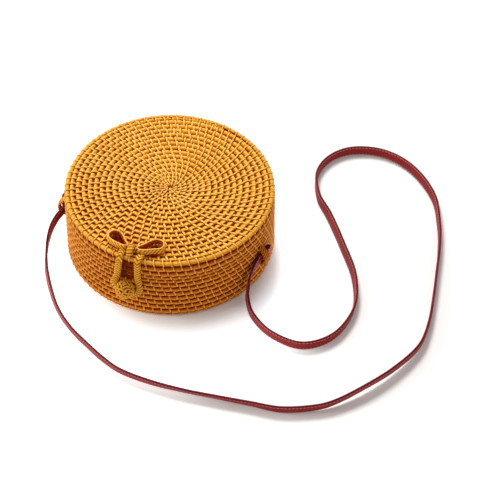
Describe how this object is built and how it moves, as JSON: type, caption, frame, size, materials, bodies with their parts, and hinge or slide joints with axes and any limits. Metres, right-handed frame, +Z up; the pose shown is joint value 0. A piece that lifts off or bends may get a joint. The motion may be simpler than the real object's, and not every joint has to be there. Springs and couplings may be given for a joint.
{
  "type": "circle bag",
  "caption": "Round coiled cane shoulder bag with a hinged lid, bow, ball and loop closure, side loops and a leather strap.",
  "frame": {"origin": "centre of the bag's base, on the floor that the bag lies on", "axes": "+Z up out of the lid, -Y towards the bow and the ball, +Y towards the lid's lashing"},
  "size_m": [0.3783, 0.3634, 0.0802],
  "materials": {
    "coiled_cane": "satin varnish",
    "edge_cane": "satin varnish",
    "wrapped_cane": "satin varnish",
    "lining_cloth": "matt plain weave",
    "strap_leather": "smooth with soft sheen"
  },
  "bodies": {
    "body": {"body_shell": "coiled_cane", "body_rim": "edge_cane", "body_lining": "lining_cloth", "side_loop_left": "wrapped_cane", "side_loop_right": "wrapped_cane", "strap": "strap_leather", "strap_stop_left": "strap_leather", "strap_stop_right": "strap_leather", "ball_button": "wrapped_cane", "ball_stem": "edge_cane", "hinge_rod": "edge_cane", "hinge_lashing_body": "wrapped_cane"},
    "lid": {"lid_shell": "coiled_cane", "lid_rim": "edge_cane", "lid_lining": "lining_cloth", "closure_shoulders": "wrapped_cane", "bow_knot": "wrapped_cane", "bow_loop_left": "wrapped_cane", "bow_loop_right": "wrapped_cane", "hinge_lashing_lid": "wrapped_cane"},
    "closure": {"closure_loop": "wrapped_cane"}
  },
  "joints": [
    {"name": "lid_hinge", "type": "hinge", "parent": "body", "child": "lid", "pos_m": [0, 0.104, 0.0508], "axis": [-1, 0, 0], "range_deg": [0, 120], "deforming": ["closure_loop"]},
    {"name": "closure_flap", "type": "hinge", "parent": "lid", "child": "closure", "pos_m": [0, -0.102, 0.0674], "axis": [-1, 0, 0], "range_deg": [0, 80]}
  ]
}
